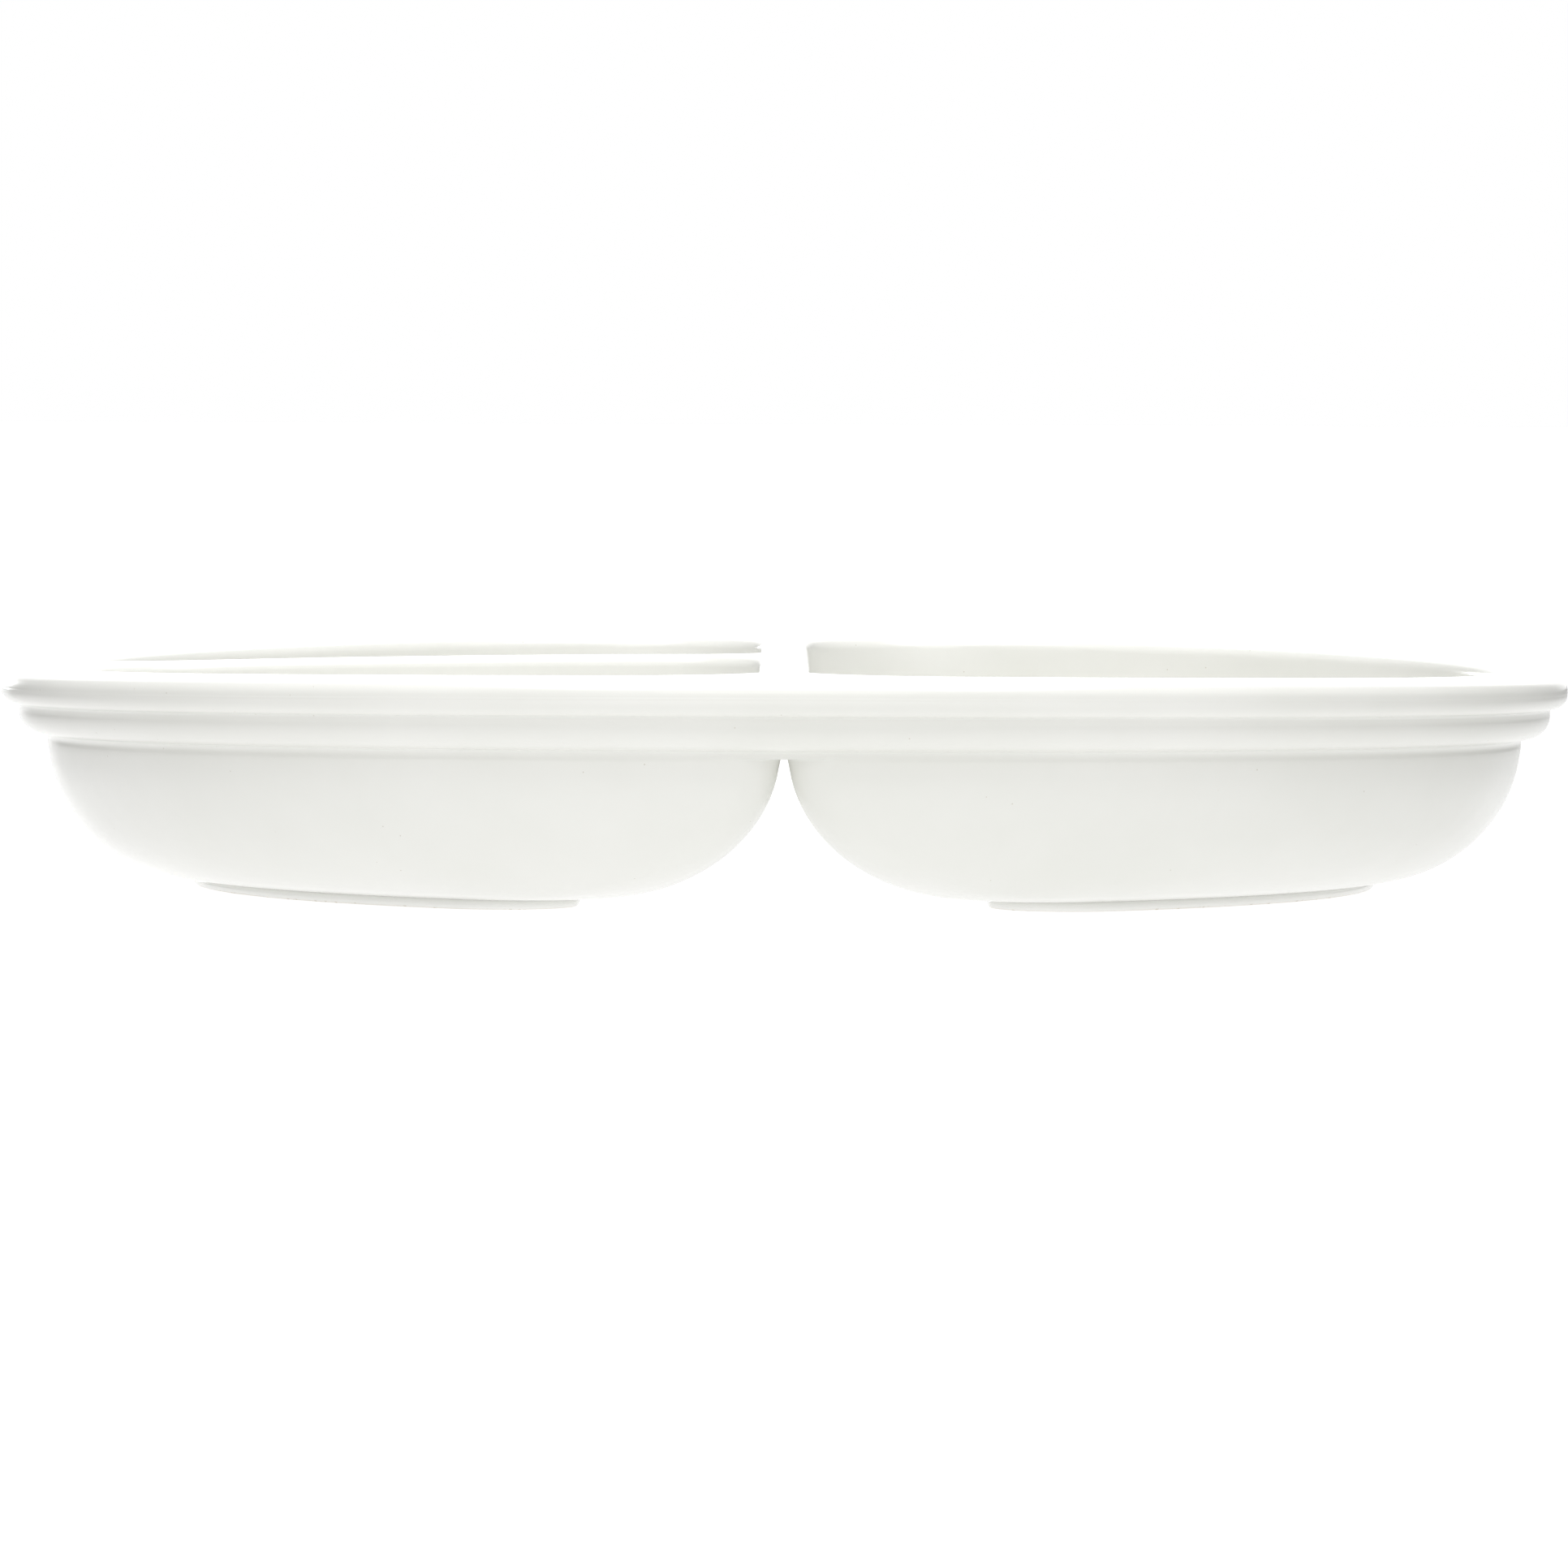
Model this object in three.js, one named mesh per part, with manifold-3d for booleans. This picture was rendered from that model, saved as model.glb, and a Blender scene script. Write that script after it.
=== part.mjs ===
// Chip and dip server: a round divided dish in white ceramic. A long divider parts a half-round chip well from a
// half-round dip well, and a cross divider parts the dip well into two.
// Millimetres, +Z up. The origin is on the resting plane, below the centre of the rim. -Y is the front, the chip
// well lies towards +X, and the long divider runs from front to back.

import * as THREE from 'three';
import Module from 'manifold-3d';
import { LoftGeometry } from 'three/addons/geometries/LoftGeometry.js';
import { mergeVertices } from 'three/addons/utils/BufferGeometryUtils.js';

const wasm = await Module();
wasm.setup();

// Rim: a flange around the wells with a rolled bead at its edge, and a stepped band below the bead.
const rimRadius = 152.5;
const rimTop = 44.7;
const rimDip = 2.8; // the rim is this much lower at its left and right ends than at its front and back
const flangeRadius = 144.5; // the flange is level inside this and falls to the bead outside it
const beadTop = 43.7;
const beadBottom = 37.5;
const beadUpperRound = { across: 2.1, up: 2.5 };
const beadLowerRound = { across: 3.0, up: 2.9 };
const bandRadius = 149.1;
const bandBottom = 31.2;
const bandRound = { across: 5.3, up: 4.0 };

// Wells, as seen from above: `arc` is the round wall's radius, `side` and `cross` are how far the straight walls
// stand from the centre lines of the long and the cross divider, and the corners are rounded. Each wall curves
// in towards the floor by its fall.
const lipRound = 2.2;
const lip = { arc: 142, side: 2.6, cross: 2.6, outerCorner: 27, innerCorner: 18 };
const insideFall = { arc: 26, side: 34, cross: 6, outerCorner: -7, innerCorner: -3 };
const insideSquareness = 2.6;
const floorTop = 6;
const shell = { arc: 143.5, side: 0.7, cross: 0, outerCorner: 9, innerCorner: 9 };
const outsideFall = { arc: 28, side: 37, cross: 0, outerCorner: 5, innerCorner: 5 };
const outsideSquareness = 2;
const shellBottom = 2.05;
const notchTop = 29.7;

// Feet and joins.
const footWidth = 3.5;
const footInset = 0.5;
const joinGap = 0.3;
const ringSplitRadius = 138; // where the rim ends and the long divider starts
const blankInnerRadius = 120;
const crossWidth = 60; // the cross divider's width where it flares into the walls at its ends

// Each well's span and turn are in degrees; `cross` names its walls that stand beside the cross divider.
const chipWell = { span: 180, turn: 0, arcSteps: 32, cornerSteps: 5, sideSteps: 3, innerSteps: 0 };
const dipWell = { ...chipWell, turn: 180 };
const quarter = { span: 90, arcSteps: 14, cornerSteps: 5, sideSteps: 5, innerSteps: 4 };
const backDip = { ...quarter, turn: 135, crossAtLeft: true };
const frontDip = { ...quarter, turn: 225, crossAtRight: true };
const wallSteps = 7;
const wellMiddle = 75; // how far the middle of a well is from the origin
const capRadius = 1;
const capRise = 0.1;
const smallestDetail = 0.02;
const rimSteps = 88;
const slabSteps = 18;

const glaze = { color: 0xe9e9e4, roughness: 0.2, metalness: 0 };
const bisque = { color: 0xdedcd4, roughness: 0.7, metalness: 0 };

// A closed geometry as a solid, with its doubled vertices merged and the rim's dip put in.
function toSolid(geometry) {
  const bare = new THREE.BufferGeometry().copy(geometry);
  bare.deleteAttribute('normal');
  bare.deleteAttribute('uv');
  const merged = mergeVertices(bare);
  const position = merged.getAttribute('position');
  for (let i = 0; i < position.count; i += 1) {
    const z = position.getZ(i);
    position.setZ(i, z - rimDip * (z / rimTop) * (position.getX(i) / rimRadius) ** 2);
  }
  const mesh = new wasm.Mesh({
    numProp: 3,
    vertProperties: new Float32Array(position.array),
    triVerts: new Uint32Array(merged.index.array),
  });
  return new wasm.Manifold(mesh);
}

// A solid as a named mesh, without details too small to matter.
function toMesh(name, solid, finish) {
  const { vertProperties, triVerts } = solid.simplify(smallestDetail).getMesh();
  const geometry = new THREE.BufferGeometry();
  geometry.setAttribute('position', new THREE.BufferAttribute(vertProperties, 3));
  geometry.setIndex(new THREE.BufferAttribute(triVerts, 1));
  geometry.computeVertexNormals();
  const mesh = new THREE.Mesh(geometry, new THREE.MeshStandardMaterial(finish));
  mesh.name = name;
  return mesh;
}

function pointsOnArc(centre, radius, from, to, steps) {
  const points = [];
  for (let i = 0; i <= steps; i += 1) {
    const angle = from + ((to - from) * i) / Math.max(steps, 1);
    points.push(new THREE.Vector2(radius * Math.cos(angle), radius * Math.sin(angle)).add(centre));
  }
  return points;
}

// The points between two ends, without the ends.
function pointsBetween(start, end, steps) {
  return Array.from({ length: steps - 1 }, (_, i) => start.clone().lerp(end, (i + 1) / steps));
}

// A well's outline from above, anticlockwise: its round wall, its left corner, its inner corner, if it has one,
// and its right corner. Each corner is an arc that touches both its walls.
function wellOutline(well, { arc, side, cross, outerCorner, innerCorner }) {
  const half = THREE.MathUtils.degToRad(well.span / 2);
  const square = Math.PI / 2;
  const leftSide = well.crossAtLeft ? cross : side;
  const rightSide = well.crossAtRight ? cross : side;
  const reach = arc - outerCorner;
  const leftLean = half - Math.asin((leftSide + outerCorner) / reach);
  const rightLean = Math.asin((rightSide + outerCorner) / reach) - half;
  const left = new THREE.Vector2(reach * Math.cos(leftLean), reach * Math.sin(leftLean));
  const right = new THREE.Vector2(reach * Math.cos(rightLean), reach * Math.sin(rightLean));
  const inner = new THREE.Vector2((leftSide + rightSide + 2 * innerCorner) / 2 / Math.sin(half), 0);
  if (leftSide !== rightSide) {
    inner.y = (rightSide - leftSide) / 2 / Math.cos(half);
  }

  const round = pointsOnArc(new THREE.Vector2(), arc, rightLean, leftLean, well.arcSteps);
  const leftArc = pointsOnArc(left, outerCorner, leftLean, half + square, well.cornerSteps);
  const innerArc = pointsOnArc(inner, innerCorner, half + square, 3 * square - half, well.innerSteps);
  const rightArc = pointsOnArc(right, outerCorner, -half - square, rightLean, well.cornerSteps);
  const outline = [
    ...round,
    ...leftArc.slice(1),
    ...pointsBetween(leftArc.at(-1), innerArc[0], well.sideSteps),
    ...innerArc,
    ...pointsBetween(innerArc.at(-1), rightArc[0], well.sideSteps),
    ...rightArc.slice(0, -1),
  ];
  const turn = THREE.MathUtils.degToRad(well.turn);
  return outline.map((point) => point.rotateAround(new THREE.Vector2(), turn));
}

// A closed solid through the well's outline at each level in turn. Each flat end runs in to a small round cap,
// a little proud of it, at the middle of the well.
function loft(well, levels) {
  const turn = THREE.MathUtils.degToRad(well.turn);
  const middle = new THREE.Vector2(wellMiddle * Math.cos(turn), wellMiddle * Math.sin(turn));
  const section = (level) => wellOutline(well, level).map(({ x, y }) => new THREE.Vector3(x, y, level.z));
  const cap = (level, z) =>
    wellOutline(well, level).map((point) => {
      const { x, y } = point.sub(middle).setLength(capRadius).add(middle);
      return new THREE.Vector3(x, y, z);
    });
  const sections = [
    cap(levels[0], levels[0].z - capRise),
    ...levels.map(section),
    cap(levels.at(-1), levels.at(-1).z + capRise),
  ];
  return toSolid(new LoftGeometry(sections, { capStart: true, capEnd: true }));
}

// A level with some of its sizes moved by those of another, times a share.
function moved(level, by, share) {
  const sizes = Object.keys(by).map((key) => [key, level[key] + by[key] * share]);
  return { ...level, ...Object.fromEntries(sizes) };
}

// A wall's levels from its foot up to its top, along a quarter of a superellipse that ends upright.
function wallLevels(top, fall, squareness, topZ, bottomZ) {
  const power = 2 / squareness;
  const inward = { ...fall, arc: -fall.arc };
  return Array.from({ length: wallSteps + 1 }, (_, i) => {
    const angle = (Math.PI / 2) * (1 - i / wallSteps);
    const z = topZ - (topZ - bottomZ) * Math.sin(angle) ** power;
    return { ...moved(top, inward, 1 - Math.cos(angle) ** power), z };
  });
}

// Widens a level by the same width all round.
function widened(level, width) {
  return moved(level, { arc: 1, side: -1, cross: -1 }, width);
}

// The levels of a well's inner wall, from its floor up to the start of the lip's rounded edge.
function insideLevels() {
  return wallLevels(widened(lip, -lipRound), insideFall, insideSquareness, rimTop - lipRound, floorTop);
}

// The levels of a well's outer wall. Above the notch between the two wells their walls stand back to back, a
// join gap apart.
function outsideLevels() {
  const levels = wallLevels(shell, outsideFall, outsideSquareness, bandBottom, shellBottom);
  const upright = { ...shell, side: joinGap / 2 };
  return [...levels.slice(0, -1), { ...upright, z: notchTop }, { ...upright, z: beadBottom - joinGap }];
}

// The levels of the space inside a well. It widens at the lip, which rounds the lip's edge, and its last step
// leads past the rim's top.
function spaceLevels() {
  const wall = insideLevels();
  const wallTop = wall.at(-1);
  const flare = [Math.PI / 6, Math.PI / 3].map((angle) => {
    const z = rimTop - lipRound * (1 - Math.sin(angle));
    return { ...widened(wallTop, lipRound * (1 - Math.cos(angle))), z };
  });
  return [...wall, ...flare, { ...widened(wallTop, 2 * lipRound), z: rimTop + lipRound / 2 }];
}

// The space inside a well, to be cut out of the rim and the dividers.
function wellSpace(well) {
  return loft(well, spaceLevels());
}

// A well's shell: up its outer wall, over its top and down its inner wall to the floor.
function wellShell(well) {
  const outside = outsideLevels();
  const { z } = outside.at(-1);
  const inside = insideLevels();
  const [low, high] = inside.slice(-2);
  const share = (z - low.z) / (high.z - low.z);
  const change = Object.fromEntries(Object.keys(low).map((key) => [key, high[key] - low[key]]));
  return loft(well, [...outside, moved(low, change, share), ...inside.slice(0, -1).reverse()]);
}

// The points of a rounded edge in the rim's section: a quarter of an ellipse around x, z.
function sectionRound(x, z, { across, up }, from, to) {
  return pointsOnArc(new THREE.Vector2(), 1, from, to, 3).map(
    (point) => new THREE.Vector2(x + across * point.x, z + up * point.y),
  );
}

function ring(section) {
  return toSolid(new THREE.LatheGeometry([...section, section[0]], rimSteps).rotateX(Math.PI / 2));
}

function disc(radius) {
  return toSolid(new THREE.CylinderGeometry(radius, radius, 3 * rimTop, rimSteps).rotateX(Math.PI / 2));
}

function withoutWells(solid) {
  return solid.subtract(wellSpace(chipWell)).subtract(wellSpace(dipWell));
}

// The flange around the wells, with its rolled bead.
function rimBead() {
  const lowX = rimRadius - beadLowerRound.across;
  const highX = rimRadius - beadUpperRound.across;
  const blank = ring([
    new THREE.Vector2(blankInnerRadius, beadBottom),
    ...sectionRound(lowX, beadBottom + beadLowerRound.up, beadLowerRound, -Math.PI / 2, 0),
    ...sectionRound(highX, beadTop - beadUpperRound.up, beadUpperRound, 0, Math.PI / 2),
    new THREE.Vector2(flangeRadius, rimTop),
    new THREE.Vector2(blankInnerRadius, rimTop),
  ]);
  return withoutWells(blank.subtract(disc(ringSplitRadius + joinGap / 2)));
}

// The stepped band below the bead, around the tops of the wells' shells.
function rimBand() {
  const lowX = bandRadius - bandRound.across;
  const inner = shell.arc + joinGap;
  return ring([
    new THREE.Vector2(inner, bandBottom),
    ...sectionRound(lowX, bandBottom + bandRound.up, bandRound, -Math.PI / 2, 0).slice(1),
    new THREE.Vector2(bandRadius, beadBottom - joinGap),
    new THREE.Vector2(inner, beadBottom - joinGap),
  ]);
}

// A plate as long as the rim from left to right, in steps that follow the rim's dip.
function slab(width, bottom, top) {
  const plate = new THREE.BoxGeometry(2 * rimRadius, width, top - bottom, slabSteps, 1, 1);
  return toSolid(plate.translate(0, 0, (bottom + top) / 2));
}

// The level bar between the two half-round wells, with flared ends.
function longDivider() {
  return withoutWells(slab(2 * rimRadius, beadBottom, rimTop).intersect(disc(ringSplitRadius - joinGap / 2)));
}

// The wall that parts the dip well into two, from its floor up to the rim.
function crossDivider() {
  const levels = spaceLevels().map((level) => ({ ...widened(level, -joinGap), z: level.z + joinGap }));
  const blank = slab(crossWidth, 0, rimTop).intersect(loft(dipWell, levels));
  return blank.subtract(wellSpace(backDip)).subtract(wellSpace(frontDip));
}

// A low ring under a well's floor, which the dish stands on.
function foot(well) {
  const outer = widened(outsideLevels()[0], -footInset);
  const inner = widened(outer, -footWidth);
  const top = shellBottom - joinGap;
  const hole = loft(well, [{ ...inner, z: -1 }, { ...inner, z: top + 1 }]);
  return loft(well, [{ ...outer, z: 0 }, { ...outer, z: top }]).subtract(hole);
}

const server = new THREE.Group();
server.add(
  toMesh('rim_bead', rimBead(), glaze),
  toMesh('rim_band', rimBand(), glaze),
  toMesh('long_divider', longDivider(), glaze),
  toMesh('cross_divider', crossDivider(), glaze),
  toMesh('chip_well', wellShell(chipWell), glaze),
  toMesh('dip_well', wellShell(dipWell), glaze),
  toMesh('chip_well_foot', foot(chipWell), bisque),
  toMesh('dip_well_foot', foot(dipWell), bisque),
);

export default server;
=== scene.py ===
import math

import bmesh
import bpy
from mathutils import Matrix, Vector


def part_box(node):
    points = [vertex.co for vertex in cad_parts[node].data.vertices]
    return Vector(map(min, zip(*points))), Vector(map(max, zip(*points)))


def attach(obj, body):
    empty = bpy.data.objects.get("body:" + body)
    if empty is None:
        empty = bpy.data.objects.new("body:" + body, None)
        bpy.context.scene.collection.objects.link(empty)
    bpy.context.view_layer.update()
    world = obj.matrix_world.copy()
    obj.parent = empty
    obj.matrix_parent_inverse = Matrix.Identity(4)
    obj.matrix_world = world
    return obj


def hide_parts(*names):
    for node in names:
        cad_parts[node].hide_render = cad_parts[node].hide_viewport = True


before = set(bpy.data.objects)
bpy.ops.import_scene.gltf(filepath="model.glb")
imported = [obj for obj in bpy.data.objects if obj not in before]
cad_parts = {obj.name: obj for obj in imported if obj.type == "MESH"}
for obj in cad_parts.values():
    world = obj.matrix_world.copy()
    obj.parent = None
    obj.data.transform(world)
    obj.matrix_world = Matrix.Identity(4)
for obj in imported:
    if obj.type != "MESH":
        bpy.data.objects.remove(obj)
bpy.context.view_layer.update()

mm = 0.001
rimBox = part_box("rim_bead")
rimRadius = rimBox[1].x
rimTop = rimBox[1].z

# rim, in metres: the bead, the band below it and the flat part that reaches in to the wells
rim = {
    "dip": 2.8 * mm,  # how much lower the left and right ends are
    "flange": 144.5 * mm,
    "beadTop": 43.7 * mm,
    "beadBottom": 37.5 * mm,
    "upper": (2.1 * mm, 2.5 * mm),
    "lower": (3.0 * mm, 2.9 * mm),
    "bandRadius": 149.1 * mm,
    "bandBottom": 31.2 * mm,
    "bandRound": (5.6 * mm, 4.6 * mm),
    "fillet": 1.1 * mm,  # where the band runs into the wells' walls
    "crease": 0.6 * mm,  # where the bead runs into the band
    "partingRise": 0.04 * mm,
    "partingWidth": 0.3 * mm,
}

# wells, as seen from above: round wall, straight walls off the two dividers' centre lines, and corners
inside = {
    "lip": {
        "arc": 142 * mm, "side": 2.6 * mm, "cross": 2.6 * mm,
        "outerCorner": 27 * mm, "innerCorner": 18 * mm,
    },
    "fall": {  # from the lip to the floor
        "arc": -26 * mm, "side": 34 * mm, "cross": 6 * mm,
        "outerCorner": -7 * mm, "innerCorner": -3 * mm,
    },
    "lipRound": 2.2 * mm,
    "squareness": 2.6,
    "floor": 6 * mm,
    "wallSteps": 22,
    "lipSteps": 5,
}
outside = {
    "top": {
        "arc": 143.5 * mm, "side": 0.7 * mm, "cross": 0,
        "outerCorner": 9 * mm, "innerCorner": 9 * mm,
    },
    "fall": {
        "arc": -28 * mm, "side": 37 * mm, "cross": 0,
        "outerCorner": 5 * mm, "innerCorner": 5 * mm,
    },
    "squareness": 2.0,
    "bottom": 2.0 * mm,
    "notchTop": 29.7 * mm,
    "notchRound": 0.65 * mm,
    "wallSteps": 26,
}
chipWell = {"span": 180, "turn": 0, "arcSteps": 84, "cornerSteps": 12, "sideSteps": 34, "innerSteps": 0}
dipWell = dict(chipWell, turn=180)
backDip = {
    "span": 90, "turn": 135, "crossAt": "left",
    "arcSteps": 44, "cornerSteps": 12, "sideSteps": 18, "innerSteps": 12,
}
frontDip = dict(backDip, turn=225, crossAt="right")

foot = {
    "inset": 0.5 * mm,
    "width": 3.5 * mm,
    "edge": 0.7 * mm,
    "steps": 4,
}


def arcPoints(centre, radius, start, end, steps):
    points = []
    for i in range(steps + 1):
        angle = start + (end - start) * i / max(steps, 1)
        points.append(centre + Vector((math.cos(angle), math.sin(angle))) * radius)
    return points


def pointsBetween(start, end, steps):
    return [start.lerp(end, i / steps) for i in range(1, steps)]


def wellOutline(well, level):
    half = math.radians(well["span"] / 2)
    square = math.pi / 2
    crossAt = well.get("crossAt")
    leftSide = level["cross"] if crossAt == "left" else level["side"]
    rightSide = level["cross"] if crossAt == "right" else level["side"]
    corner, inner = level["outerCorner"], level["innerCorner"]
    reach = level["arc"] - corner
    leftLean = half - math.asin((leftSide + corner) / reach)
    rightLean = math.asin((rightSide + corner) / reach) - half
    leftCentre = Vector((math.cos(leftLean), math.sin(leftLean))) * reach
    rightCentre = Vector((math.cos(rightLean), math.sin(rightLean))) * reach
    innerCentre = Vector(((leftSide + rightSide + 2 * inner) / 2 / math.sin(half), 0))
    if leftSide != rightSide:
        innerCentre.y = (rightSide - leftSide) / 2 / math.cos(half)

    wall = arcPoints(Vector((0, 0)), level["arc"], rightLean, leftLean, well["arcSteps"])
    left = arcPoints(leftCentre, corner, leftLean, half + square, well["cornerSteps"])
    middle = arcPoints(innerCentre, inner, half + square, 3 * square - half, well["innerSteps"])
    right = arcPoints(rightCentre, corner, -half - square, rightLean, well["cornerSteps"])
    outline = wall + left[1:] + pointsBetween(left[-1], middle[0], well["sideSteps"]) + middle
    outline += pointsBetween(middle[-1], right[0], well["sideSteps"]) + right[:-1]
    turn = math.radians(well["turn"])
    c, s = math.cos(turn), math.sin(turn)
    return [Vector((p.x * c - p.y * s, p.x * s + p.y * c)) for p in outline]


def moved(level, by, share):
    return dict(level, **{key: level[key] + by[key] * share for key in by})


def widened(level, width):
    return moved(level, {"arc": 1, "side": -1, "cross": -1}, width)


def wallLevels(top, fall, squareness, topZ, bottomZ, steps):
    # quarter of a superellipse, upright at the top and level at the floor
    power = 2 / squareness
    levels = []
    for i in range(steps + 1):
        angle = math.pi / 2 * (1 - i / steps)
        z = topZ - (topZ - bottomZ) * math.sin(angle) ** power
        levels.append(dict(moved(top, fall, 1 - math.cos(angle) ** power), z=z))
    return levels


def startRing(bm, points, z):
    ring = [bm.verts.new((p.x, p.y, z)) for p in points]
    for i, vert in enumerate(ring):
        bm.edges.new((vert, ring[(i + 1) % len(ring)]))
    return ring


def ringEdges(bm, ring):
    return [bm.edges.get((vert, ring[(i + 1) % len(ring)])) for i, vert in enumerate(ring)]


def nextRing(bm, ring, points, z):
    # extrudes a closed ring and sets the new ring's points in the old one's order
    made = bmesh.ops.extrude_edge_only(bm, edges=ringEdges(bm, ring))["geom"]
    new = {item for item in made if isinstance(item, bmesh.types.BMVert)}
    follow = []
    for vert, point in zip(ring, points):
        twin = next(edge.other_vert(vert) for edge in vert.link_edges if edge.other_vert(vert) in new)
        twin.co = (point.x, point.y, z)
        follow.append(twin)
    return follow


def closeRing(bm, ring):
    # shrinking rings meet in a point, which keeps the faces even
    middle = sum((v.co for v in ring), Vector()) / len(ring)
    around = [v.co.xy - middle.xy for v in ring]
    for share in (0.85, 0.6, 0.35, 0.12, 0.01):
        ring = nextRing(bm, ring, [middle.xy + reach * share for reach in around], middle.z)
    bmesh.ops.pointmerge(bm, verts=ring, merge_co=middle)


def sink(bm):
    # the rim's dip, growing from the resting plane up
    for v in bm.verts:
        v.co.z -= rim["dip"] * (v.co.z / rimTop) * (v.co.x / rimRadius) ** 2


def finishMesh(name, bm, material, slotName, *nodes):
    mesh = bpy.data.meshes.new(name)
    bmesh.ops.recalc_face_normals(bm, faces=bm.faces)
    bm.to_mesh(mesh)
    bm.free()
    for polygon in mesh.polygons:
        polygon.use_smooth = True
    piece = bpy.data.objects.new(name, mesh)
    bpy.context.scene.collection.objects.link(piece)
    mesh.materials.append(material)
    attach(piece, "root")
    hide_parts(*nodes)
    return piece


def insideLevels():
    # a well from the rim's top, over the lip's rounded edge and down the wall to the floor
    top = widened(inside["lip"], -inside["lipRound"])
    wallTop = rimTop - inside["lipRound"]
    levels = []
    for i in range(inside["lipSteps"], 0, -1):
        angle = math.pi / 2 * i / inside["lipSteps"]
        spread = inside["lipRound"] * (1 - math.cos(angle))
        levels.append(dict(widened(top, spread), z=wallTop + inside["lipRound"] * math.sin(angle)))
    wall = wallLevels(top, inside["fall"], inside["squareness"], wallTop, inside["floor"],
                      inside["wallSteps"])
    return levels + wall[::-1]


def outsideLevels():
    # a well's outer wall from the notch's rounded top down to the underside
    top, fall = outside["top"], outside["fall"]
    wall = wallLevels(top, fall, outside["squareness"], rim["bandBottom"], outside["bottom"],
                      outside["wallSteps"])
    wall = [level for level in wall if level["z"] < outside["notchTop"] - 1.5 * outside["notchRound"]]
    upper = dict(wall[-1])
    levels = []
    for angle in (math.pi / 2, math.pi / 3, math.pi / 6, 0):
        drawn = outside["notchRound"] * (1 - math.cos(angle))
        z = outside["notchTop"] - outside["notchRound"] * (1 - math.sin(angle))
        levels.append(dict(upper, side=top["side"] - drawn, arc=top["arc"],
                           outerCorner=top["outerCorner"], z=z))
    return levels + wall[::-1]


def rimSection():
    # radius and height from the wells' walls, out round the band and the bead and in to the flange
    upAcross, upHigh = rim["upper"]
    lowAcross, lowHigh = rim["lower"]
    bandAcross, bandHigh = rim["bandRound"]
    fillet = rim["fillet"]
    root = outside["top"]["arc"]
    points = [(root + fillet * (1 - math.cos(a)), rim["bandBottom"] - fillet * (1 - math.sin(a)))
              for a in (0, 0.4, 0.8, 1.2)]
    bandAcross -= fillet
    centre = rim["bandRadius"] - bandAcross
    for i in range(9):
        a = math.pi / 2 * i / 8
        z = rim["bandBottom"] + bandHigh * (1 - math.cos(a))
        points.append((centre + bandAcross * math.sin(a), z))
    soft = rim["crease"]
    points.append((rim["bandRadius"], rim["beadBottom"] - soft))
    points.append((rim["bandRadius"] + 0.3 * soft, rim["beadBottom"] - 0.3 * soft))
    lowX, lowZ = rimRadius - lowAcross, rim["beadBottom"] + lowHigh
    for i in range(9):
        a = math.pi / 2 * i / 8
        points.append((lowX + lowAcross * math.sin(a), lowZ - lowHigh * math.cos(a)))
    upX, upZ = rimRadius - upAcross, rim["beadTop"] - upHigh
    for i in range(9):
        a = math.radians(82) * i / 8
        points.append((upX + upAcross * math.cos(a), upZ + upHigh * math.sin(a)))
    # the mould's parting line stands a hair proud at the widest place
    middle = (lowZ + upZ) / 2
    flush = rimRadius - rim["partingRise"]
    flat = [(min(r, flush), z) for r, z in points]
    place = next(i for i, (r, z) in enumerate(flat) if z > middle)
    half = rim["partingWidth"] / 2
    ridge = [(flush, middle - half), (rimRadius, middle), (flush, middle + half)]
    flat = flat[:place] + ridge + flat[place:]
    # and the flange runs in almost level to the wells
    flat += [(rim["flange"] + 3.2 * mm, rimTop - 0.42 * mm)]
    flat += [(rim["flange"] + 1.5 * mm, rimTop - 0.12 * mm)]
    return flat + [(rim["flange"], rimTop)]


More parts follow.
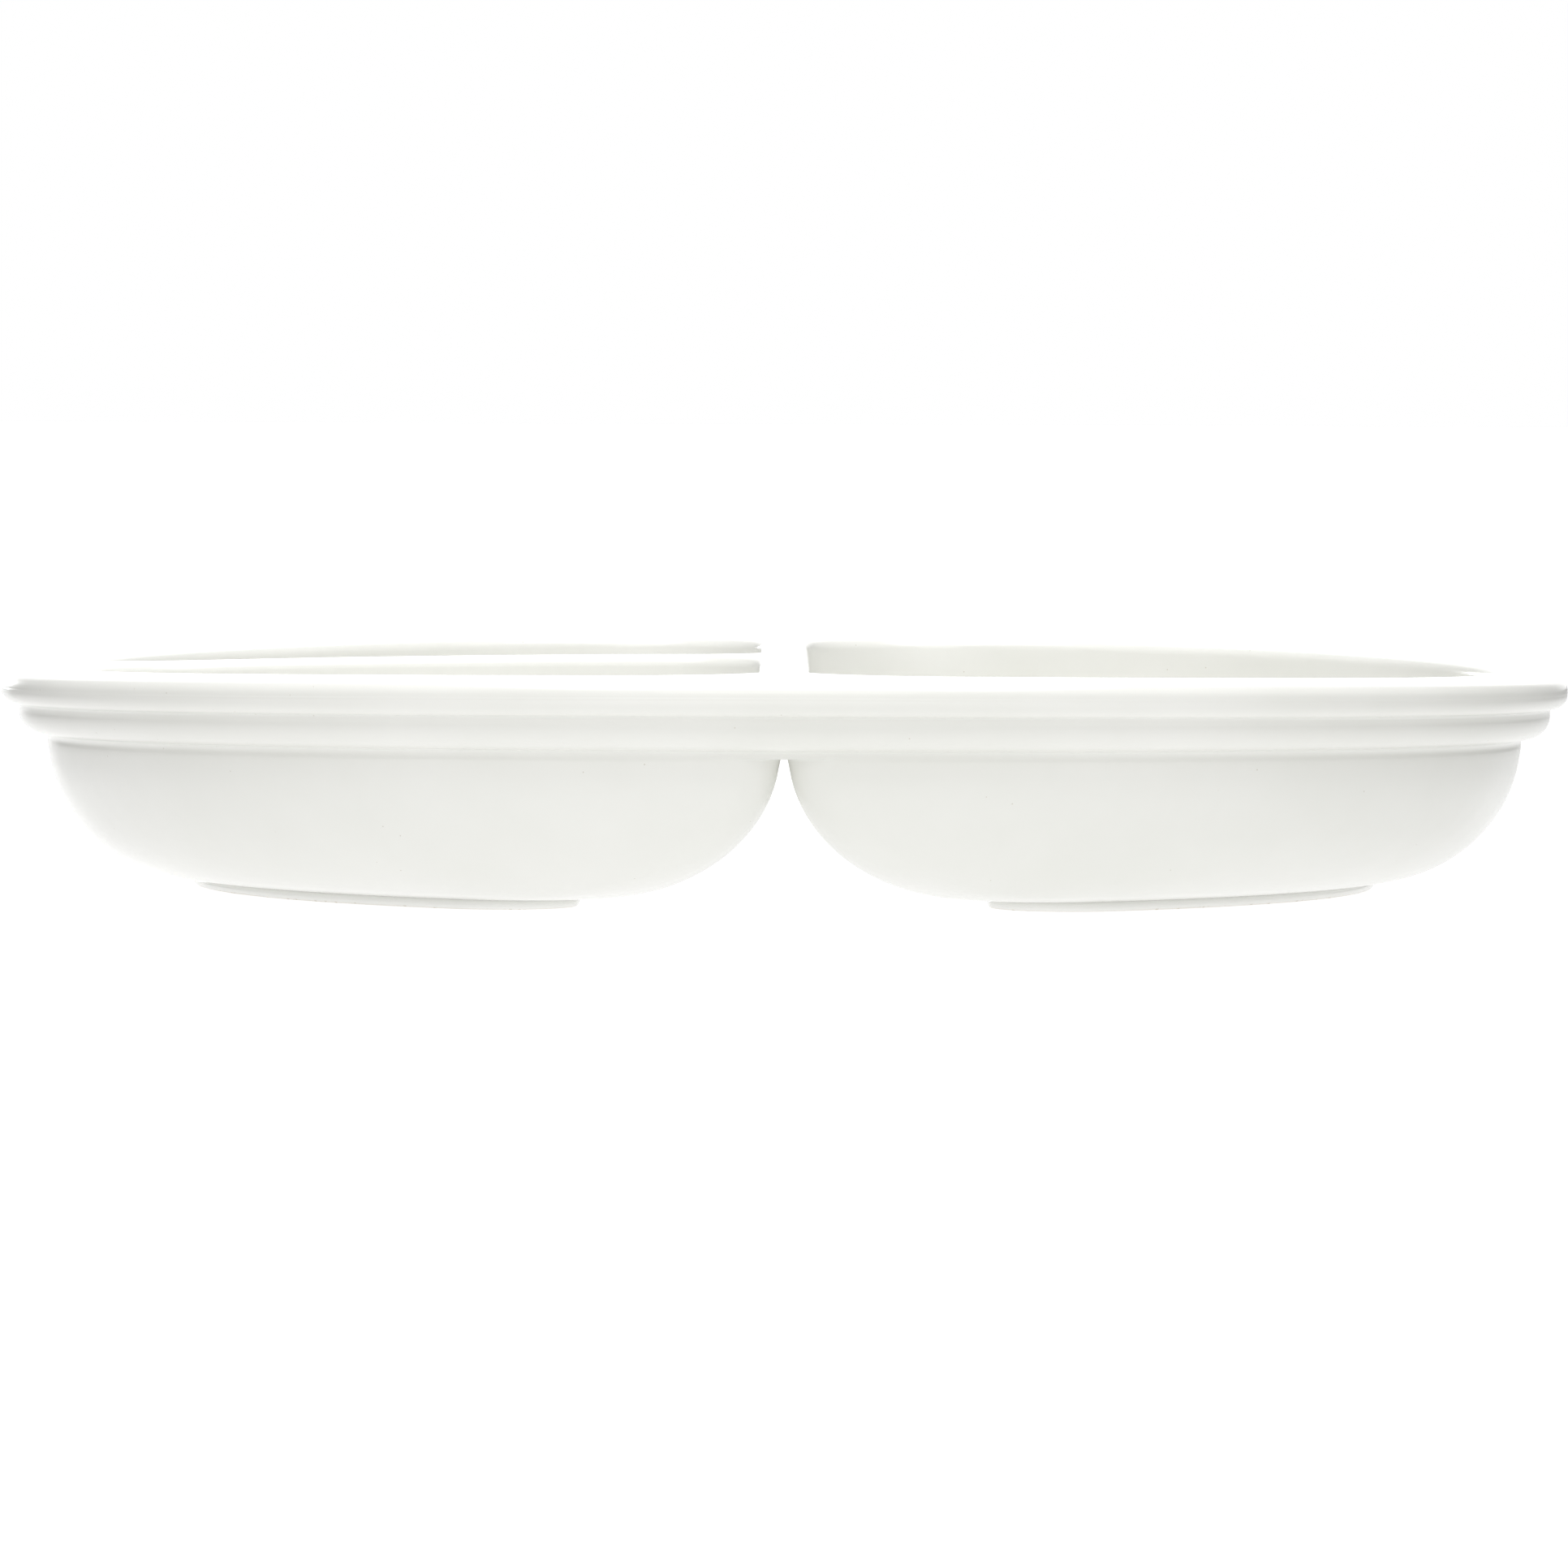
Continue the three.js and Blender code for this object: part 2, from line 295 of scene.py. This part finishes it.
def buildDish(material):
    bm = bmesh.new()
    levels = outsideLevels()
    count = chipWell["arcSteps"] + 1
    arcs, walls = [], []
    for well in (chipWell, dipWell):
        outline = wellOutline(well, levels[0])
        ring = startRing(bm, outline, levels[0]["z"])
        arcs.append(ring[:count])
        walls.append(ring)
        under = ring
        for level in levels[1:]:
            under = nextRing(bm, under, wellOutline(well, level), level["z"])
        closeRing(bm, under)

    # the two round walls and short arcs across the notch's ends make one full circle
    root = outside["top"]["arc"]
    circle = []
    for arc, after in ((arcs[0], arcs[1]), (arcs[1], arcs[0])):
        start = math.atan2(arc[-1].co.y, arc[-1].co.x)
        turn = (math.atan2(after[0].co.y, after[0].co.x) - start) % (2 * math.pi)
        across = arcPoints(Vector((0, 0)), root, start, start + turn, 6)[1:-1]
        chain = [arc[-1]] + [bm.verts.new((p.x, p.y, levels[0]["z"])) for p in across] + [after[0]]
        for a, b in zip(chain, chain[1:]):
            bm.edges.new((a, b))
        circle += arc + chain[1:-1]

    # the notch's roof, between the two walls and the arcs across its ends
    roof = []
    for ring in walls:
        back = ring[count - 1:] + ring[:1]
        roof += [bm.edges.get(pair) for pair in zip(back, back[1:])]
    onWalls = set(walls[0]) | set(walls[1])
    for i, vert in enumerate(circle):
        other = circle[(i + 1) % len(circle)]
        if vert not in onWalls or other not in onWalls:
            roof.append(bm.edges.get((vert, other)))
    bmesh.ops.triangle_fill(bm, use_beauty=True, use_dissolve=False, edges=roof)

    ways = [v.co.xy.normalized() for v in circle]
    for radius, z in rimSection():
        circle = nextRing(bm, circle, [way * radius for way in ways], z)

    plate = ringEdges(bm, circle)
    for well in (chipWell, backDip, frontDip):
        levels = insideLevels()
        ring = startRing(bm, wellOutline(well, levels[0]), levels[0]["z"])
        plate += ringEdges(bm, ring)
        for level in levels[1:]:
            ring = nextRing(bm, ring, wellOutline(well, level), level["z"])
        closeRing(bm, ring)
    bmesh.ops.triangle_fill(bm, use_beauty=True, use_dissolve=False, edges=plate, normal=(0, 0, 1))
    sink(bm)
    loose = [edge for edge in bm.edges if len(edge.link_faces) != 2]
    print("dish:", len(bm.faces), "faces,", len(loose), "open edges")
    return finishMesh("glazed_dish", bm, material, "glaze", "rim_bead", "rim_band", "long_divider",
                      "cross_divider", "chip_well", "dip_well")


def buildFoot(name, well, node, material):
    bm = bmesh.new()
    level = dict(outside["top"])
    level = moved(level, outside["fall"], 1)
    outer = widened(level, -foot["inset"])
    inner = widened(outer, -foot["width"])
    edge = foot["edge"]
    angles = [math.pi / 2 * i / foot["steps"] for i in range(foot["steps"] + 1)]
    around = [(outer, 0, outside["bottom"])]
    around += [(outer, edge * (1 - math.cos(a)), edge * (1 - math.sin(a))) for a in angles]
    around += [(inner, -edge * (1 - math.cos(a)), edge * (1 - math.sin(a))) for a in angles[::-1]]
    around += [(inner, 0, outside["bottom"])]
    first = ring = None
    for size, inward, z in around:
        outline = wellOutline(well, widened(size, -inward))
        if ring is None:
            first = ring = startRing(bm, outline, z)
        else:
            ring = nextRing(bm, ring, outline, z)
    bmesh.ops.bridge_loops(bm, edges=ringEdges(bm, first) + ringEdges(bm, ring))
    sink(bm)
    return finishMesh(name, bm, material, "foot", node)


# finishes

def socketGroup(name, inputs, outputs):
    group = bpy.data.node_groups.new(name, "ShaderNodeTree")
    for label, kind, value in inputs:
        group.interface.new_socket(label, in_out="INPUT", socket_type=kind).default_value = value
    for label, kind in outputs:
        group.interface.new_socket(label, in_out="OUTPUT", socket_type=kind)
    return group, group.nodes.new("NodeGroupInput"), group.nodes.new("NodeGroupOutput")


def glazeSurfaceGroup():
    # colour drift, fine specks and the glaze's slight waviness
    group, given, out = socketGroup("glazeSurface", [
        ("Vector", "NodeSocketVector", (0, 0, 0)),
        ("Drift Scale", "NodeSocketFloat", 22),
        ("Speck Scale", "NodeSocketFloat", 260),
        ("Speck Size", "NodeSocketFloat", 0.04),
    ], [("Drift", "NodeSocketFloat"), ("Speck", "NodeSocketFloat"), ("Height", "NodeSocketFloat")])
    nodes, links = group.nodes, group.links
    drift = nodes.new("ShaderNodeTexNoise")
    drift.inputs["Detail"].default_value = 4
    drift.inputs["Roughness"].default_value = 0.55
    links.new(given.outputs["Vector"], drift.inputs["Vector"])
    links.new(given.outputs["Drift Scale"], drift.inputs["Scale"])
    links.new(drift.outputs["Fac"], out.inputs["Drift"])

    cells = nodes.new("ShaderNodeTexVoronoi")
    links.new(given.outputs["Vector"], cells.inputs["Vector"])
    links.new(given.outputs["Speck Scale"], cells.inputs["Scale"])
    near = nodes.new("ShaderNodeMath")
    near.operation = "LESS_THAN"
    links.new(cells.outputs["Distance"], near.inputs[0])
    links.new(given.outputs["Speck Size"], near.inputs[1])
    pick = nodes.new("ShaderNodeSeparateColor")
    links.new(cells.outputs["Color"], pick.inputs["Color"])
    few = nodes.new("ShaderNodeMath")
    few.operation = "GREATER_THAN"
    few.inputs[1].default_value = 0.35
    links.new(pick.outputs["Red"], few.inputs[0])
    speck = nodes.new("ShaderNodeMath")
    speck.operation = "MULTIPLY"
    links.new(near.outputs[0], speck.inputs[0])
    links.new(few.outputs[0], speck.inputs[1])
    links.new(speck.outputs[0], out.inputs["Speck"])

    wave = nodes.new("ShaderNodeTexNoise")
    wave.inputs["Scale"].default_value = 55
    wave.inputs["Detail"].default_value = 2
    links.new(given.outputs["Vector"], wave.inputs["Vector"])
    peel = nodes.new("ShaderNodeTexNoise")
    peel.inputs["Scale"].default_value = 900
    peel.inputs["Detail"].default_value = 1
    links.new(given.outputs["Vector"], peel.inputs["Vector"])
    fine = nodes.new("ShaderNodeMath")
    fine.operation = "MULTIPLY_ADD"
    fine.inputs[1].default_value = 0.08
    links.new(peel.outputs["Fac"], fine.inputs[0])
    links.new(wave.outputs["Fac"], fine.inputs[2])
    links.new(fine.outputs[0], out.inputs["Height"])
    return group


def blendColour(nodes, links, factor, first, second):
    mix = nodes.new("ShaderNodeMix")
    mix.data_type = "RGBA"
    for socket, value in ((mix.inputs["A"], first), (mix.inputs["B"], second)):
        if isinstance(value, tuple):
            socket.default_value = (*value, 1)
        else:
            links.new(value, socket)
    links.new(factor, mix.inputs["Factor"])
    return mix.outputs["Result"]


def blendValue(nodes, links, factor, first, second):
    mix = nodes.new("ShaderNodeMix")
    for socket, value in ((mix.inputs["A"], first), (mix.inputs["B"], second)):
        if isinstance(value, float):
            socket.default_value = value
        else:
            links.new(value, socket)
    links.new(factor, mix.inputs["Factor"])
    return mix.outputs["Result"]


def ranged(nodes, links, value, low, high, toLow, toHigh):
    scale = nodes.new("ShaderNodeMapRange")
    for label, number in (("From Min", low), ("From Max", high), ("To Min", toLow), ("To Max", toHigh)):
        scale.inputs[label].default_value = number
    links.new(value, scale.inputs["Value"])
    return scale.outputs["Result"]


whiteGlaze = {
    "light": (0.86, 0.86, 0.825),
    "deep": (0.815, 0.818, 0.775),
    "speck": (0.68, 0.66, 0.6),
    "roughness": (0.18, 0.255),
    "ior": 1.5,
    "coat": 0.35,
    "coatRoughness": 0.08,
    "bump": 0.06 * mm,
}


def startMaterial(name, group):
    material = bpy.data.materials.new(name)
    material.use_nodes = True
    nodes, links = material.node_tree.nodes, material.node_tree.links
    place = nodes.new("ShaderNodeTexCoord")
    surface = nodes.new("ShaderNodeGroup")
    surface.node_tree = group
    links.new(place.outputs["Object"], surface.inputs["Vector"])
    return material, nodes, links, nodes["Principled BSDF"], place, surface


def glazeMaterial(group):
    material, nodes, links, shader, place, surface = startMaterial("whiteGlaze", group)
    body = ranged(nodes, links, surface.outputs["Drift"], 0.3, 0.7, 0, 1)
    colour = blendColour(nodes, links, body, whiteGlaze["light"], whiteGlaze["deep"])
    colour = blendColour(nodes, links, surface.outputs["Speck"], colour, whiteGlaze["speck"])
    links.new(colour, shader.inputs["Base Color"])
    gloss = ranged(nodes, links, surface.outputs["Drift"], 0.3, 0.7, *whiteGlaze["roughness"])
    links.new(gloss, shader.inputs["Roughness"])
    shader.inputs["IOR"].default_value = whiteGlaze["ior"]
    shader.inputs["Coat Weight"].default_value = whiteGlaze["coat"]
    shader.inputs["Coat Roughness"].default_value = whiteGlaze["coatRoughness"]
    bump = nodes.new("ShaderNodeBump")
    bump.inputs["Distance"].default_value = whiteGlaze["bump"]
    links.new(surface.outputs["Height"], bump.inputs["Height"])
    links.new(bump.outputs["Normal"], shader.inputs["Normal"])
    return material


footFinish = {
    # painted light: the foot's glaze is lighter than the dish's own glaze, to lift the shade the low
    # foot sits in
    "glaze": (0.94, 0.94, 0.915),
    "bare": (0.84, 0.82, 0.77),
    "grit": (0.66, 0.62, 0.54),
    "line": 0.25 * mm,  # the glaze is wiped off below this height
    "wobble": 0.15 * mm,
    "blend": 0.1 * mm,
    "roughness": (0.2, 0.75),  # glazed, bare
    "speckScale": 700,
    "speckSize": 0.28,
    "bump": 0.08 * mm,
}


def footMaterial(group):
    material, nodes, links, shader, place, surface = startMaterial("wipedFoot", group)
    surface.inputs["Speck Scale"].default_value = footFinish["speckScale"]
    surface.inputs["Speck Size"].default_value = footFinish["speckSize"]
    split = nodes.new("ShaderNodeSeparateXYZ")
    links.new(place.outputs["Object"], split.inputs["Vector"])
    sway = footFinish["wobble"]
    wobble = ranged(nodes, links, surface.outputs["Drift"], 0.3, 0.7, -sway, sway)
    height = nodes.new("ShaderNodeMath")
    links.new(split.outputs["Z"], height.inputs[0])
    links.new(wobble, height.inputs[1])
    line, blend = footFinish["line"], footFinish["blend"]
    bare = ranged(nodes, links, height.outputs[0], line - blend, line + blend, 1, 0)
    clay = blendColour(nodes, links, surface.outputs["Speck"], footFinish["bare"], footFinish["grit"])
    # the foot's glaze colour carries painted light that lifts the foot's shade
    links.new(blendColour(nodes, links, bare, footFinish["glaze"], clay), shader.inputs["Base Color"])
    links.new(ranged(nodes, links, bare, 0, 1, *footFinish["roughness"]), shader.inputs["Roughness"])
    bump = nodes.new("ShaderNodeBump")
    bump.inputs["Distance"].default_value = footFinish["bump"]
    links.new(surface.outputs["Height"], bump.inputs["Height"])
    links.new(bump.outputs["Normal"], shader.inputs["Normal"])
    return material


surfaceGroup = glazeSurfaceGroup()
glaze = glazeMaterial(surfaceGroup)
bare = footMaterial(surfaceGroup)
dish = buildDish(glaze)
buildFoot("chip_foot_ring", chipWell, "chip_well_foot", bare)
buildFoot("dip_foot_ring", dipWell, "dip_well_foot", bare)
print("dish and feet built")

studio = {
    "floor": (0.24, 0.24, 0.238),
    "floorRoughness": 0.5,
    "glow": 0.82,  # the table is lit from within, so shadows on it stay weak
    "edgeGlow": 0.12,  # what the dish gets from the table's left and right; the camera sees it even
    "world": 0.84,
    "sides": 0.34,  # how bright the tent is at the left and right
    "strip": 1.7,  # the strip of light at the back
    "behind": 0.42,  # and beside that strip
    "overhead": 17.5,
    "front": 5,
    "backLeft": 3,
}


def buildStage():
    bm = bmesh.new()
    low = [bm.verts.new((x, -6, 0)) for x in (-12, 12)]
    edge = bm.edges.new(low)
    made = bmesh.ops.extrude_edge_only(bm, edges=[edge])["geom"]
    far = [item for item in made if isinstance(item, bmesh.types.BMVert)]
    bmesh.ops.translate(bm, verts=far, vec=(0, 36, 0))
    bmesh.ops.recalc_face_normals(bm, faces=bm.faces)
    mesh = bpy.data.meshes.new("table")
    bm.to_mesh(mesh)
    bm.free()
    floor = bpy.data.objects.new("table", mesh)
    bpy.context.scene.collection.objects.link(floor)
    material = bpy.data.materials.new("whiteTable")
    material.use_nodes = True
    nodes, links = material.node_tree.nodes, material.node_tree.links
    shader = nodes["Principled BSDF"]
    place = nodes.new("ShaderNodeTexCoord")
    cloud = nodes.new("ShaderNodeTexNoise")
    cloud.inputs["Scale"].default_value = 3
    links.new(place.outputs["Object"], cloud.inputs["Vector"])
    sheen, spread = studio["floorRoughness"], 0.02
    matt = ranged(nodes, links, cloud.outputs["Fac"], 0.3, 0.7, sheen - spread, sheen + spread)
    links.new(matt, shader.inputs["Roughness"])
    shader.inputs["Base Color"].default_value = (*studio["floor"], 1)
    shader.inputs["Specular IOR Level"].default_value = 0.05
    shader.inputs["Emission Color"].default_value = (1, 1, 1, 1)
    split = nodes.new("ShaderNodeSeparateXYZ")
    links.new(place.outputs["Object"], split.inputs["Vector"])
    aside = nodes.new("ShaderNodeMath")
    aside.operation = "ABSOLUTE"
    links.new(split.outputs["X"], aside.inputs[0])
    glow = ranged(nodes, links, aside.outputs[0], 0.12, 0.45, studio["glow"], studio["edgeGlow"])
    path = nodes.new("ShaderNodeLightPath")
    even = blendValue(nodes, links, path.outputs["Is Camera Ray"], glow, studio["glow"])
    links.new(even, shader.inputs["Emission Strength"])
    mesh.materials.append(material)


def areaLight(name, place, aim, size, power):
    data = bpy.data.lights.new(name, "AREA")
    data.shape = "RECTANGLE"
    data.size, data.size_y = size
    data.energy = power
    lamp = bpy.data.objects.new(name, data)
    lamp.location = place
    lamp.rotation_euler = (Vector(aim) - Vector(place)).to_track_quat("-Z", "Y").to_euler()
    bpy.context.scene.collection.objects.link(lamp)


def lightScene():
    world = bpy.data.worlds.new("softTent")
    world.use_nodes = True
    nodes, links = world.node_tree.nodes, world.node_tree.links
    around = nodes.new("ShaderNodeTexCoord")
    split = nodes.new("ShaderNodeSeparateXYZ")
    links.new(around.outputs["Generated"], split.inputs["Vector"])
    aside = nodes.new("ShaderNodeMath")
    aside.operation = "ABSOLUTE"
    links.new(split.outputs["X"], aside.inputs[0])
    front = ranged(nodes, links, aside.outputs[0], 0.15, 0.85, studio["world"], studio["sides"])
    back = ranged(nodes, links, aside.outputs[0], 0.08, 0.4, studio["strip"], studio["behind"])
    half = ranged(nodes, links, split.outputs["Y"], -0.1, 0.15, 0, 1)
    tent = blendValue(nodes, links, half, front, back)
    path = nodes.new("ShaderNodeLightPath")
    seen = blendValue(nodes, links, path.outputs["Is Camera Ray"], tent, 1.0)
    links.new(seen, nodes["Background"].inputs["Strength"])
    nodes["Background"].inputs["Color"].default_value = (1, 1, 1, 1)
    bpy.context.scene.world = world
    areaLight("overhead", (0, -0.45, 1.5), (0, 0, 0), (1.6, 1.4), studio["overhead"])
    areaLight("frontPanel", (0, -2.4, 1.3), (0, 0, 0), (1.6, 0.9), studio["front"])
    areaLight("backLeftPanel", (-0.5, 1.6, 0.12), (0, 0, 0.02), (0.5, 0.2), studio["backLeft"])
    bpy.context.scene.view_settings.view_transform = "Standard"


view = {
    "distance": 1.845,
    "height": 0.095,
    "down": 2.3455,
    "roll": 0.22,
    "lens": 217,
}


def placeCamera():
    data = bpy.data.cameras.new("camera")
    data.lens = view["lens"]
    data.sensor_width = 36
    data.clip_end = 50
    camera = bpy.data.objects.new("camera", data)
    pitch = Matrix.Rotation(math.radians(90 - view["down"]), 4, "X")
    roll = Matrix.Rotation(math.radians(view["roll"]), 4, "Z")
    camera.matrix_world = Matrix.Translation((0, -view["distance"], view["height"])) @ pitch @ roll
    bpy.context.scene.collection.objects.link(camera)
    bpy.context.scene.camera = camera


buildStage()
lightScene()
placeCamera()
print("stage, lights and camera set")
